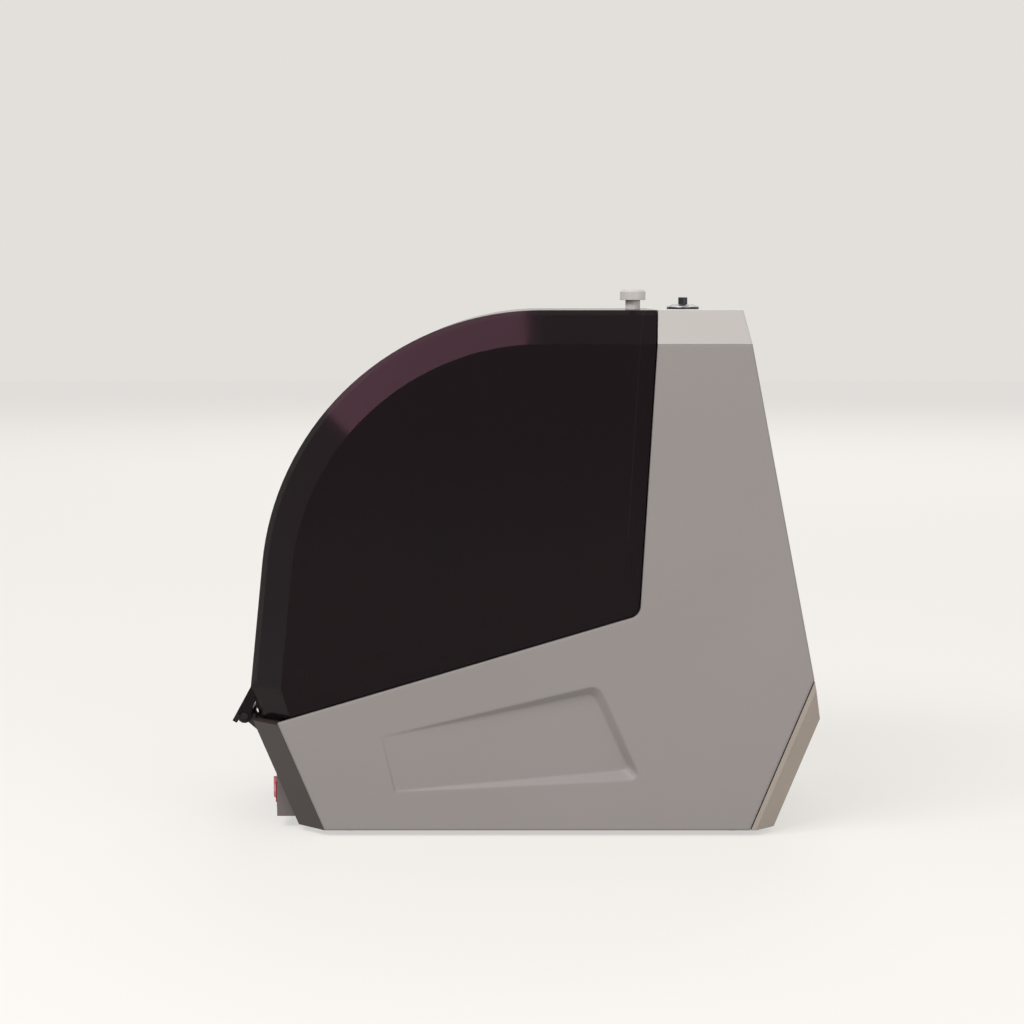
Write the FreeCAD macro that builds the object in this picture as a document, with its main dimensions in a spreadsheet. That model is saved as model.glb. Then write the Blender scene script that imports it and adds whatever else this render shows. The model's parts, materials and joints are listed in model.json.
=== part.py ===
"""Filament dryer box: a wedge-shaped heated chamber with a front tower and a smoked lid hinged at the back.

Frame in millimetres: +X is the front (the display), +Z is up, and the origin is on the floor below the
middle of the box. The side profile lies in the XZ plane and the width runs along Y.
"""
import FreeCAD, Part
import Sketcher
import math
import os
import re

doc = FreeCAD.newDocument("filament_dryer")

# Driving dimensions. Heights are above the floor, and x and y places are measured from the origin.
SIZES = {
    # Side profile of the housing
    "body_width": 172, "foot_height": 3, "wall": 2.5, "cover_wall": 2.5,
    "tip_x": 146.9, "tip_z": 57.5, "chin_foot_x": 124.5,
    "top_z": 259.8, "tower_front_x": 107.3, "tower_rear_x": 65.5,
    "corner_x": 56.7, "corner_z": 110.5, "corner_fillet": 6.5,
    "heel_x": 122.4, "heel_z": 56.9, "heel_foot_x": 99.6,
    "bevel": 16.4, "back_bevel": 14, "chin_bevel": 9.6, "chin_land": 2.6, "groove": 0.6,
    # Tapered recess in each side cover
    "recess_back_x": 71, "recess_back_top": 50.2, "recess_back_low": 22.4, "recess_back_lean": 6.4,
    "recess_top_x": 36.6, "recess_top_z": 75.9, "recess_end_x": 57.6, "recess_end_z": 28.4,
    "recess_shallow": 0.1, "recess_deep": 4.5, "recess_edge_back": 0.5, "recess_edge_front": 4.4,
    "recess_margin": 2.5, "recess_round_long": 0.045, "recess_round_short": 0.1,
    # Lid
    "lid_shoulder_x": 117.9, "lid_radius": 140, "kink_x": 137.5, "kink_z": 72.1, "skirt_x": 133,
    "lid_wall": 2.5, "lid_gap": 0.5, "lid_side_gap": 0.3, "nose_x": 146.9, "nose_z": 54.9, "hood_wall": 2.5,
    # Hinge
    "hinge_x": 140.8, "hinge_z": 57.2, "pin_radius": 1.8, "running_gap": 0.05, "joint_gap": 0.3,
    "boss_radius": 3.6, "ear_inset": 18.8, "ear_width": 8, "knuckle_width": 10, "ear_root_z": 44.3,
    "web_half": 2.4, "pin_end": 0.5,
    # Round well and rollers
    "spool_radius": 100, "spool_x": 9.9, "spool_z": 144.4, "well_width": 96, "well_gap": 2.5,
    "wheel_radius": 8, "wheel_offset": 60, "wheel_inner_y": 18, "wheel_outer_y": 42, "tyre_wall": 1.8,
    "shaft_radius": 3, "shaft_end": 3, "bush_radius": 5, "bush_flange": 7, "bush_flange_thick": 1.5,
    "seal_height": 1, "seal_width": 4, "seal_start": 10,
    "vent_width": 3, "vent_margin": 5.5, "vent_pitch": 8, "vent_deck_x": 60,
    "vent_tower_z": 135, "post_radius": 4.5, "post_rear_x": 104, "post_front_x": 46,
    # Front tower
    "front_wall": 3, "display_low": 148, "display_high": 217, "display_half": 52, "lens_wall": 2,
    "lens_inset": 0.2, "fit_gap": 0.2, "module_depth": 7, "board_wall": 1.6, "board_margin": 8,
    # Filament outlet
    "outlet_x": 82, "dome_radius": 8.35, "dome_height": 2.5, "nipple_radius": 2.4, "nipple_height": 6.1,
    "outlet_bore": 1.3, "shank_radius": 4, "shank_length": 14, "nut_radius": 7, "nut_height": 4,
    "tube_radius": 2, "tube_bore": 1.0, "tube_socket": 5, "tube_end": 1,
    # Lid knob
    "knob_x": 56, "knob_head_radius": 6.65, "knob_head": 5.5, "knob_stem_radius": 3.85, "knob_stem": 4.7,
    "knob_round": 1.2, "screw_radius": 1.6, "screw_head_radius": 3, "screw_head": 1.8, "screw_length": 7,
    # Rear power pod, inlet and switch
    "pod_x": 125.1, "pod_low": 5.9, "pod_inset": 6, "pod_y_far": 34, "power_z": 17,
    "inlet_y": 14, "inlet_width": 27, "inlet_height": 18, "inlet_depth": 21, "inlet_rim": 1.6,
    "socket_depth": 16, "pin_blade": 4, "pin_thick": 2, "pin_length": 11, "pin_pitch": 7, "pin_rise": 2,
    "switch_inset": 20, "switch_width": 20, "switch_height": 14.5, "switch_depth": 14, "switch_rim": 0.5,
    "rocker_length": 14, "rocker_height": 10.5, "rocker_end_gap": 1.2, "rocker_out": 2.5, "rocker_dip": 1.2,
    "rocker_pivot": 3, "rocker_back": 2, "rocker_tilt": 10, "trunnion_radius": 1.2, "trunnion_length": 1,
    # Fan, heater and boards in the side bays
    "fan_x": 10, "fan_z": 52, "fan_size": 50, "fan_depth": 15, "fan_bore": 23, "fan_hub": 10, "fan_tip": 21.8,
    "fan_blade": 1.6, "fan_plate": 2.5, "fan_shaft": 1.5, "fan_strut": 3, "fan_play": 1.5,
    "heater_x": 47, "heater_length": 50, "heater_low": 20, "heater_height": 24, "bay_margin": 6,
    "heater_frame": 3, "fin_pitch": 4, "fin_wall": 1, "fin_gap_depth": 10,
    "power_board_x": 25, "power_board_length": 90, "power_board_low": 16, "power_board_height": 46,
    "standoff": 4, "sensor_z": 122.5, "sensor_width": 14, "sensor_height": 18, "sensor_depth": 4,
    # Base
    "foot_radius": 7, "foot_rear_x": 88, "foot_front_x": 104, "foot_inset": 20, "tray_vent_length": 26,
}

sheet = doc.addObject("Spreadsheet::Sheet", "dims")
for row, (alias, value) in enumerate(SIZES.items(), 1):
    sheet.set(f"A{row}", str(value))
    sheet.setAlias(f"A{row}", alias)
doc.recompute()

# Expressions that several pieces share
HALF = "(body_width / 2)"
INNER = "(body_width / 2 - cover_wall)"
CREASE_Z = "(top_z - bevel)"
DIAGONAL = "(sqrt(2))"
WEDGE_SLOPE = "((corner_z - heel_z) / (corner_x + heel_x))"
REAR_SLOPE = "((tower_rear_x - corner_x) / (top_z - corner_z))"
FRONT_SLOPE = "((tip_x - tower_front_x) / (top_z - tip_z))"
CHIN_SLOPE = "((tip_x - chin_foot_x) / (tip_z - foot_height))"
HEEL_SLOPE = "((heel_x - heel_foot_x) / (heel_z - foot_height))"
LID_HALF = f"({INNER} - lid_side_gap)"
LEDGE_Z = "(heel_z - seal_height)"
TRAY_TOP = "(foot_height + wall)"
WELL_RADIUS = "(spool_radius + 2 * wheel_radius + well_gap)"
WELL_HALF = "(well_width / 2)"
WELL_OUTER = "(well_width / 2 + wall)"
ROLLER_Z = "(spool_z - sqrt((spool_radius + wheel_radius) ^ 2 - wheel_offset ^ 2))"
EAR_OUTER = "(ear_inner_y + ear_width)"
GROOVE_WIDTH = "(chin_bevel + chin_land)"

# Places that follow from the sizes, by the name that the pieces use
DERIVED = {
    "vent_inner_y": f"({WELL_OUTER} + vent_margin)",
    "vent_outer_y": f"({INNER} - vent_margin)",
    "post_y": f"({INNER} - 3 * post_radius)",
    "foot_y": f"({HALF} - foot_inset)",
    "sensor_y": f"(({WELL_OUTER} + {INNER}) / 2)",
    "switch_y": f"({HALF} - back_bevel - switch_inset)",
    "pod_y_near": f"({HALF} - back_bevel - pod_inset)",
    "ear_inner_y": f"({LID_HALF} - bevel - ear_inset)",
    "heater_depth": f"({INNER} - {WELL_OUTER} - heater_frame - bay_margin)",
    "bay_height": f"({INNER} - recess_deep - {WELL_OUTER} - standoff - board_wall)",
}


def wedge(x, drop="0"):
    """Height of the wedge line that the lid closes on, at x."""
    return f"(heel_z + (({x}) + heel_x) * {WEDGE_SLOPE} - ({drop}))"


def rear(z, inset="0"):
    """x of the tower's rear edge at height z."""
    return f"(corner_x + (({z}) - corner_z) * {REAR_SLOPE} + ({inset}))"


def front(z, inset="0"):
    """x of the slanted front face at height z."""
    return f"(tip_x - (({z}) - tip_z) * {FRONT_SLOPE} - ({inset}))"


def heel(z, out="0"):
    """x of the side cover's leaning back edge at height z."""
    return f"(-heel_foot_x - (({z}) - foot_height) * {HEEL_SLOPE} - ({out}))"


def corner(drop, inset):
    """Point where a line below the wedge line meets a line inside the tower's rear edge."""
    along = f"((({inset}) - {REAR_SLOPE} * ({drop})) / (1 - {WEDGE_SLOPE} * {REAR_SLOPE}))"
    return f"(corner_x + {along})", f"(corner_z + {WEDGE_SLOPE} * {along} - ({drop}))"


def groove_top(width):
    """Height where the edge that runs width behind the lower front face meets the front face."""
    return f"(tip_z + ({width}) / ({CHIN_SLOPE} + {FRONT_SLOPE}))"


def lid_back(z, inset="0"):
    """x of the lid's leaning back face at height z."""
    return f"(-kink_x + (({z}) - kink_z) * (kink_x - lid_shoulder_x) / (top_z - kink_z) + ({inset}))"


def size(alias):
    """Current value of one cell."""
    return float(sheet.get(alias))


def bound(text):
    """Expression with every derived place written out and every size read from the sheet."""
    placed = re.sub(r"[A-Za-z_]\w*", lambda word: DERIVED.get(word[0], word[0]), text)
    return re.sub(r"[A-Za-z_]\w*", lambda word: "dims." + word[0] if word[0] in SIZES else word[0], placed)


PIECES = []


def new_body(label, kept=True):
    """A body for one piece. A kept piece is written to a file of its own."""
    body = doc.addObject("PartDesign::Body", label)
    body.Label = label
    if kept:
        PIECES.append(body)
    return body


def new_sketch(body, role, shift="0"):
    sketch = body.newObject("Sketcher::SketchObject", body.Label + "_sketch")
    support = next(feature for feature in body.Origin.OriginFeatures if feature.Role == role)
    sketch.AttachmentSupport = [(support, "")]
    sketch.MapMode = "FlatFace"
    sketch.setExpression("AttachmentOffset.Base.z", bound(shift))
    return sketch


def fix_point(sketch, geometry, vertex, x, y):
    for kind, text in (("DistanceX", x), ("DistanceY", y)):
        index = sketch.addConstraint(Sketcher.Constraint(kind, -1, 1, geometry, vertex, 1.0))
        sketch.setExpression(f"Constraints[{index}]", bound(text))


def polygon(sketch, points):
    """Closed outline through points given as expressions."""
    count = len(points)
    first = sketch.GeometryCount
    turn = 2 * math.pi / count
    ring = [FreeCAD.Vector(math.cos(turn * i), math.sin(turn * i), 0) for i in range(count)]
    for i in range(count):
        sketch.addGeometry(Part.LineSegment(ring[i], ring[(i + 1) % count]))
    for i in range(count):
        sketch.addConstraint(Sketcher.Constraint("Coincident", first + i, 2, first + (i + 1) % count, 1))
    for i, (x, y) in enumerate(points):
        fix_point(sketch, first + i, 1, x, y)


def rectangle(sketch, low_x, low_y, high_x, high_y):
    polygon(sketch, [(low_x, low_y), (high_x, low_y), (high_x, high_y), (low_x, high_y)])


def circle(sketch, x, y, radius):
    index = sketch.addGeometry(Part.Circle(FreeCAD.Vector(1, 1, 0), FreeCAD.Vector(0, 0, 1), 1.0))
    fix_point(sketch, index, 3, x, y)
    constraint = sketch.addConstraint(Sketcher.Constraint("Radius", index, 1.0))
    sketch.setExpression(f"Constraints[{constraint}]", bound(radius))


def extrude(kind, body, sketch, length, both, back):
    feature = body.newObject("PartDesign::" + kind, body.Label + "_" + kind.lower())
    feature.Profile = sketch
    feature.setExpression("Length", bound(length))
    feature.Midplane = both
    feature.Reversed = back
    return feature


def pad(body, sketch, length, both=False, back=False):
    return extrude("Pad", body, sketch, length, both, back)


def pocket(body, sketch, length, both=False, back=False):
    """Cut that has to take material away."""
    doc.recompute()
    before = body.Shape.Volume
    feature = extrude("Pocket", body, sketch, length, both, back)
    doc.recompute()
    if not body.Shape.Volume < before - 1e-6:
        raise RuntimeError(f"{feature.Label} cuts nothing")
    return feature


def lean_along(feature, x, y, z):
    """Extrude along a leaning direction, with the length measured square to the sketch."""
    feature.UseCustomVector = True
    feature.AlongSketchNormal = True
    for axis, text in (("x", x), ("y", y), ("z", z)):
        feature.setExpression("Direction." + axis, bound(text))


def slab(body, points, width):
    """Side-profile outline padded evenly to both sides of the middle plane."""
    sketch = new_sketch(body, "XZ_Plane")
    polygon(sketch, points)
    return pad(body, sketch, width, both=True)


def side_bar(body, points, low_y, high_y, side):
    """Side-profile outline between two distances from the middle plane. Side 1 is -Y and side -1 is +Y."""
    sketch = new_sketch(body, "XZ_Plane", f"{side} * ({low_y})")
    polygon(sketch, points)
    return pad(body, sketch, f"({high_y}) - ({low_y})", back=side < 0)


def trim(body, points, width="2 * body_width"):
    """Side-profile outline cut right through the piece."""
    sketch = new_sketch(body, "XZ_Plane")
    polygon(sketch, points)
    return pocket(body, sketch, width, both=True)


def dressup(kind, body, base, names, prop, text):
    feature = body.newObject("PartDesign::" + kind, body.Label + "_" + kind.lower())
    feature.Base = (base, names)
    feature.setExpression(prop, bound(text))
    doc.recompute()
    return feature


def edges_where(feature, test):
    doc.recompute()
    names = [f"Edge{i}" for i, edge in enumerate(feature.Shape.Edges, 1) if test(edge)]
    if not names:
        raise RuntimeError(f"no such edge on {feature.Label}")
    return names


def runs_across(edge, x, z):
    """True for a straight edge along Y at the given place of the side profile."""
    box = edge.BoundBox
    flat = box.XLength < 0.01 and box.ZLength < 0.01
    return flat and abs(box.Center.x - x) < 0.05 and abs(box.Center.z - z) < 0.05


def revolve(body, points):
    """Turned piece. Points are radius and height, and the body's Z axis is the turning axis."""
    sketch = new_sketch(body, "XZ_Plane")
    polygon(sketch, points)
    feature = body.newObject("PartDesign::Revolution", body.Label + "_turn")
    feature.Profile = sketch
    feature.ReferenceAxis = (sketch, ["V_Axis"])
    feature.Angle = 360
    return feature


def place(body, x="0", y="0", z="0"):
    for axis, text in (("x", x), ("y", y), ("z", z)):
        body.setExpression("Placement.Base." + axis, bound(text))


# Housing panels


def between(start, end, share):
    """Point at a share of the way from start to end."""
    return tuple(f"(({first}) + ({share}) * (({last}) - ({first})))" for first, last in zip(start, end))


def recess_corners(inset):
    """Corners of the tapered recess: its rim, or its floor where inset is set."""
    back = "recess_edge_back" if inset else "0"
    end = "recess_edge_front" if inset else "0"
    return [
        ("-recess_back_x", f"recess_back_top - {back}"),
        (f"recess_top_x - 0.6 * {end}", f"recess_top_z - {end}"),
        (f"recess_end_x - 1.3 * {end}", f"recess_end_z + {end}"),
        ("-recess_back_x + recess_back_lean", f"recess_back_low + {back}"),
    ]


def recess_points(inset):
    """Outline of the recess, with its two front corners rounded in short runs."""
    top_back, top_front, low_front, low_back = recess_corners(inset)
    points = [top_back]
    for before, point, after, entry, leave in (
        (top_back, top_front, low_front, "recess_round_long", "recess_round_short"),
        (top_front, low_front, low_back, "recess_round_short", "recess_round_long"),
    ):
        start, end = between(point, before, entry), between(point, after, leave)
        for share in ("0", "0.3", "0.7", "1"):
            points.append(between(between(start, point, share), between(point, end, share), share))
    return points + [low_back]


def side_cover(label, side):
    """Flat outer cover with the L-shaped outline, and a recess that deepens towards the front."""
    body = new_body(label)
    edge = f"({GROOVE_WIDTH} + groove)"
    points = [
        (rear(CREASE_Z), CREASE_Z), (front(CREASE_Z), CREASE_Z),
        (front(groove_top(edge)), groove_top(edge)), (f"chin_foot_x - {edge}", "foot_height"),
        ("-heel_foot_x", "foot_height"), ("-heel_x", "heel_z"), ("corner_x", "corner_z"),
    ]
    plate = side_bar(body, points, INNER, HALF, side)
    at_corner = edges_where(plate, lambda e: runs_across(e, size("corner_x"), size("corner_z")))
    dressup("Fillet", body, plate, at_corner, "Radius", "corner_fillet")
    margin = [("-1", "1"), ("1", "1"), ("1", "-1"), ("-1", "-1")]
    backing = [
        (f"{x} + {dx} * recess_margin", f"{z} + {dz} * recess_margin")
        for (x, z), (dx, dz) in zip(recess_corners(False), margin)
    ]
    side_bar(body, backing, f"{INNER} - recess_deep", INNER, side)
    rim = new_sketch(body, "XZ_Plane", f"{side} * {HALF}")
    polygon(rim, recess_points(False))
    slope = "((recess_deep - recess_shallow) / (recess_end_x + recess_back_x))"
    depth = f"(recess_shallow + recess_back_x * {slope})"
    floor = new_sketch(body, "XZ_Plane", f"{side} * ({HALF} - {depth})")
    floor.AttachmentOffset = FreeCAD.Placement(FreeCAD.Vector(), FreeCAD.Rotation(FreeCAD.Vector(0, 1, 0), 1))
    floor.setExpression("AttachmentOffset.Rotation.Angle", bound(f"{side} * atan({slope})"))
    polygon(floor, recess_points(True))
    loft = body.newObject("PartDesign::SubtractiveLoft", label + "_recess")
    loft.Profile = floor
    loft.Sections = [rim]
    loft.Ruled = True
    doc.recompute()
    return body


def cap_bevels(body):
    """Cut the top corners of a piece that stands between the covers, so that it fits under the cap."""
    sketch = new_sketch(body, "YZ_Plane")
    low = f"({HALF} - {DIAGONAL} * wall)"
    for sign in ("", "-"):
        polygon(sketch, [
            (f"{sign}({low} - 3 * bevel)", f"{CREASE_Z} + 3 * bevel"), (f"{sign}{low}", CREASE_Z),
            (f"{sign}({low} + bevel)", f"{CREASE_Z} - bevel"), (f"{sign}({HALF} + 3 * bevel)", f"{CREASE_Z} - bevel"),
            (f"{sign}({HALF} + 3 * bevel)", f"{CREASE_Z} + 3 * bevel"),
        ])
    return pocket(body, sketch, "4 * tip_x", both=True)


def tower_cap():
    """Top of the tower with its two sloping side facets, cut to the tower's leaning front and back."""
    body = new_body("tower_cap")
    sketch = new_sketch(body, "YZ_Plane", "corner_x")
    outside = [(HALF, CREASE_Z), (f"({HALF} - bevel)", "top_z")]
    inside = [(f"({HALF} - bevel - ({DIAGONAL} - 1) * wall)", "top_z - wall"), (f"({HALF} - {DIAGONAL} * wall)", CREASE_Z)]
    mirrored = [("-" + y, z) for y, z in reversed(outside)]
    mirrored_inside = [("-" + y, z) for y, z in reversed(inside)]
    polygon(sketch, outside + mirrored + mirrored_inside + inside)
    pad(body, sketch, "tip_x - corner_x")
    low, high = f"({CREASE_Z} - bevel)", "(top_z + bevel)"
    trim(body, [("corner_x - bevel", low), (rear(low), low), (rear(high), high), ("corner_x - bevel", high)])
    trim(body, [("tip_x + bevel", low), (front(low), low), (front(high), high), ("tip_x + bevel", high)])
    hole = new_sketch(body, "XY_Plane", "top_z + wall")
    circle(hole, "outlet_x", "0", "shank_radius + running_gap")
    pocket(body, hole, "3 * wall")
    return body


# Line on the front face where the lower panel's side lands meet the slanted panel
LAND_FOOT_Y = f"({HALF} - chin_bevel - 1.5 * wall)"
LAND_TOP_Z = groove_top(f"chin_bevel + ({DIAGONAL} - 1) * wall")


def front_panel():
    """Slanted front face with the display aperture, trimmed below for the lower panel's side lands."""
    body = new_body("front_panel")
    top = "(top_z - wall)"
    slab(body, [
        ("tip_x", "tip_z"), (front(top), top), (front(top, "front_wall"), top), ("tip_x - front_wall", "tip_z"),
    ], f"2 * {INNER}")
    cap_bevels(body)
    corners = new_sketch(body, "YZ_Plane")
    for sign in ("", "-"):
        polygon(corners, [
            (f"{sign}{LAND_FOOT_Y}", "tip_z"), (f"{sign}({HALF} - wall)", LAND_TOP_Z), (f"{sign}{HALF}", LAND_TOP_Z),
            (f"{sign}{HALF}", "foot_height"), (f"{sign}{LAND_FOOT_Y}", "foot_height"),
        ])
    pocket(body, corners, "4 * tip_x", both=True)
    window = new_sketch(body, "YZ_Plane")
    rectangle(window, "-display_half", "display_low", "display_half", "display_high")
    pocket(body, window, "4 * tip_x", both=True)
    return body


def chin_plan(wall_inside):
    """Plan of the lower front panel at the floor side: its outer line, or the inside of its wall."""
    if wall_inside:
        return [
            (f"chin_foot_x - {GROOVE_WIDTH}", f"({HALF} - wall)"),
            (f"chin_foot_x - chin_bevel - ({DIAGONAL} - 1) * wall", f"({HALF} - wall)"),
            ("chin_foot_x - wall", f"({HALF} - chin_bevel - ({DIAGONAL} - 1) * wall)"),
        ]
    return [
        (f"chin_foot_x - {GROOVE_WIDTH}", HALF), ("chin_foot_x - chin_bevel", HALF),
        ("chin_foot_x", f"({HALF} - chin_bevel)"),
    ]


def mirrored_plan(points):
    return points + [(x, f"-{y}") for x, y in reversed(points)]


def front_lower_panel():
    """Lower front wall that leans out to the tip, with bevelled corners and a land along each groove."""
    body = new_body("front_lower_panel")
    sketch = new_sketch(body, "XY_Plane", "foot_height")
    polygon(sketch, mirrored_plan(chin_plan(False)) + list(reversed(mirrored_plan(chin_plan(True)))))
    top = groove_top(GROOVE_WIDTH)
    lean_along(pad(body, sketch, f"{top} - foot_height"), "tip_x - chin_foot_x", "0", "tip_z - foot_height")
    high = f"({top} + bevel)"
    trim(body, [("tip_x", "tip_z"), (front(high), high), ("tip_x + 3 * bevel", high), ("tip_x + 3 * bevel", "tip_z")])
    middle = new_sketch(body, "YZ_Plane")
    land = f"({HALF} - wall)"
    polygon(middle, [
        (f"-{LAND_FOOT_Y}", "tip_z"), (LAND_FOOT_Y, "tip_z"), (land, LAND_TOP_Z), (land, high),
        (f"-{land}", high), (f"-{land}", LAND_TOP_Z),
    ])
    pocket(body, middle, "4 * tip_x", both=True)
    return body


def back_plan(z, wall_inside):
    """Plan of the back panel at height z: its outer line, or the inside of its wall."""
    if wall_inside:
        return [(heel(z), f"({HALF} - {DIAGONAL} * wall)"),
                (heel(z, "back_bevel - wall"), f"({HALF} - back_bevel - ({DIAGONAL} - 1) * wall)")]
    return [(heel(z), HALF), (heel(z, "back_bevel"), f"({HALF} - back_bevel)")]


POD_TOP = f"(foot_height + (pod_x - heel_foot_x - back_bevel) / {HEEL_SLOPE})"


def back_panel():
    """Leaning back wall with bevelled corners, a ledge for the lid and a hole for the inlet and switch."""
    body = new_body("back_panel")
    sketch = new_sketch(body, "XY_Plane", "foot_height")
    wall_plan = mirrored_plan(back_plan("foot_height", False)) + list(reversed(mirrored_plan(back_plan("foot_height", True))))
    polygon(sketch, wall_plan)
    lean = ("heel_foot_x - heel_x", "0", "heel_z - foot_height")
    lean_along(pad(body, sketch, f"{LEDGE_Z} - foot_height"), *lean)
    ledge = new_sketch(body, "XY_Plane", f"{LEDGE_Z} - wall")
    polygon(ledge, mirrored_plan(back_plan(f"({LEDGE_Z} - wall)", False)))
    lean_along(pad(body, ledge, "wall"), *lean)
    window = new_sketch(body, "YZ_Plane", "-heel_foot_x")
    low, high = "(power_z - inlet_height / 2 - fit_gap)", "(power_z + inlet_height / 2 + fit_gap)"
    rectangle(window, "inlet_y - inlet_width / 2 - fit_gap", low, "inlet_y + inlet_width / 2 + fit_gap", high)
    low, high = "(power_z - switch_height / 2 - fit_gap)", "(power_z + switch_height / 2 + fit_gap)"
    rectangle(window, "-switch_y - switch_width / 2 - fit_gap", low, "-switch_y + switch_width / 2 + fit_gap", high)
    pocket(body, window, "heel_x")
    return body


def base_tray():
    """Floor plate inside the covers, with air slots and screw holes."""
    body = new_body("base_tray")
    sketch = new_sketch(body, "XY_Plane", "foot_height")
    chin = [(f"chin_foot_x - {GROOVE_WIDTH} - groove", INNER)] + chin_plan(True)
    back = [("-heel_foot_x", INNER)] + back_plan("foot_height", True)
    polygon(sketch, mirrored_plan(list(reversed(back)) + chin))
    pad(body, sketch, "wall")
    holes = new_sketch(body, "XY_Plane", f"{TRAY_TOP} + wall")
    for x in ("-post_rear_x", "post_front_x"):
        for y in ("-post_y", "post_y"):
            circle(holes, x, y, "screw_radius + running_gap")
    pocket(body, holes, "3 * wall")
    slots = new_sketch(body, "XY_Plane", f"{TRAY_TOP} + wall")
    for i in range(9):
        x = f"(fan_x + {i - 4} * vent_pitch)"
        rectangle(slots, f"{x} - vent_width / 2", "-tray_vent_length", f"{x} + vent_width / 2", "tray_vent_length")
    pocket(body, slots, "3 * wall")
    return body


def rubber_feet():
    body = new_body("rubber_feet")
    sketch = new_sketch(body, "XY_Plane")
    for x in ("-foot_rear_x", "foot_front_x"):
        for y in ("-foot_y", "foot_y"):
            circle(sketch, x, y, "foot_radius")
    pad(body, sketch, "foot_height")
    return body


def base_screws():
    """Screws from below, through the tray into the posts of the tub."""
    body = new_body("base_screws")
    heads = new_sketch(body, "XY_Plane", "foot_height")
    shanks = new_sketch(body, "XY_Plane", "foot_height")
    for x in ("-post_rear_x", "post_front_x"):
        for y in ("-post_y", "post_y"):
            circle(heads, x, y, "screw_head_radius")
            circle(shanks, x, y, "screw_radius")
    pad(body, heads, "screw_head", back=True)
    pad(body, shanks, "wall + screw_length")
    return body


# Chamber


def deck_line(x, depth="0"):
    return wedge(x, f"seal_height + ({depth})")


def chamber_tub():
    """Sloping deck with air slots, and the round well for what is dried."""
    body = new_body("chamber_tub")
    disc = new_sketch(body, "XZ_Plane")
    circle(disc, "-spool_x", "spool_z", f"{WELL_RADIUS} + wall")
    pad(body, disc, f"2 * {WELL_OUTER}", both=True)
    far = "(2 * tip_x)"
    trim(body, [(f"-{far}", deck_line(f"-{far}")), (far, deck_line(far)), (far, "2 * top_z"), (f"-{far}", "2 * top_z")])
    deck_end = "(-heel_x + wall)"
    slab(body, [
        (deck_end, deck_line(deck_end)), corner("seal_height", "seal_height"),
        corner("seal_height + wall", "seal_height"), (deck_end, deck_line(deck_end, "wall")),
    ], f"2 * {INNER}")
    for x in ("-post_rear_x", "post_front_x"):
        posts = new_sketch(body, "XY_Plane", TRAY_TOP)
        for y in ("-post_y", "post_y"):
            circle(posts, x, y, "post_radius")
        pad(body, posts, f"{deck_line(x, 'wall / 2')} - {TRAY_TOP}")
    well = new_sketch(body, "XZ_Plane")
    circle(well, "-spool_x", "spool_z", WELL_RADIUS)
    pocket(body, well, "well_width", both=True)
    axles = new_sketch(body, "XZ_Plane")
    for sign in ("-", ""):
        circle(axles, f"-spool_x + {sign}wheel_offset", ROLLER_Z, "bush_radius")
    pocket(body, axles, "2 * body_width", both=True)
    slots = new_sketch(body, "XY_Plane", "corner_z + wall")
    for i in range(12):
        x = f"(-vent_deck_x - {4 - i} * vent_pitch)"
        for near, far_y in (("vent_inner_y", "vent_outer_y"), ("-vent_outer_y", "-vent_inner_y")):
            rectangle(slots, f"{x} - vent_width / 2", near, f"{x} + vent_width / 2", far_y)
    pocket(body, slots, "corner_z - heel_z + 2 * wall")
    grille = new_sketch(body, "XZ_Plane")
    for i in range(5):
        x = f"(fan_x + {i - 2} * vent_pitch)"
        reach = f"(sqrt((fan_bore - 1) ^ 2 - ({abs(i - 2)} * vent_pitch + vent_width / 2) ^ 2))"
        rectangle(grille, f"{x} - vent_width / 2", f"fan_z - {reach}", f"{x} + vent_width / 2", f"fan_z + {reach}")
    pocket(body, grille, f"{WELL_OUTER} + 1")
    threads = new_sketch(body, "XY_Plane", TRAY_TOP)
    for x in ("-post_rear_x", "post_front_x"):
        for y in ("-post_y", "post_y"):
            circle(threads, x, y, "screw_radius + running_gap")
    pocket(body, threads, "screw_length + 1", back=True)
    return body


def tower_liner():
    """Rear wall of the tower with the round slot, and the curved wall that closes the slot inside."""
    body = new_body("tower_liner")
    disc = new_sketch(body, "XZ_Plane")
    circle(disc, "-spool_x", "spool_z", f"{WELL_RADIUS} + wall")
    pad(body, disc, f"2 * {WELL_OUTER}", both=True)
    far = "(2 * tip_x)"
    trim(body, [(f"-{far}", deck_line(f"-{far}")), (far, deck_line(far)), (far, "-top_z"), (f"-{far}", "-top_z")])
    high = "(2 * top_z)"
    trim(body, [(f"-{far}", "-top_z"), (rear("-top_z", "seal_height"), "-top_z"),
                (rear(high, "seal_height"), high), (f"-{far}", high)])
    top = "(top_z - wall)"
    start = corner("seal_height + wall", "seal_height")
    slab(body, [
        start, (rear(top, "seal_height"), top), (rear(top, "seal_height + wall"), top),
        (rear(start[1], "seal_height + wall"), start[1]),
    ], f"2 * {INNER}")
    cap_bevels(body)
    well = new_sketch(body, "XZ_Plane")
    circle(well, "-spool_x", "spool_z", WELL_RADIUS)
    pocket(body, well, "well_width", both=True)
    below = new_sketch(body, "XZ_Plane")
    polygon(below, [(f"-{far}", "-top_z"), (far, "-top_z"), (far, deck_line(far)), (f"-{far}", deck_line(f"-{far}"))])
    pocket(body, below, f"2 * {WELL_OUTER}", both=True)
    slots = new_sketch(body, "YZ_Plane", "corner_x - wall")
    for i in range(9):
        z = f"(vent_tower_z + {i} * vent_pitch)"
        for near, far_y in (("vent_inner_y", "vent_outer_y"), ("-vent_outer_y", "-vent_inner_y")):
            rectangle(slots, near, f"{z} - vent_width / 2", far_y, f"{z} + vent_width / 2")
    pocket(body, slots, "tower_front_x", back=True)
    tube = new_sketch(body, "XY_Plane", "top_z")
    circle(tube, "outlet_x", "0", "tube_radius + running_gap")
    pocket(body, tube, "top_z")
    return body


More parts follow.
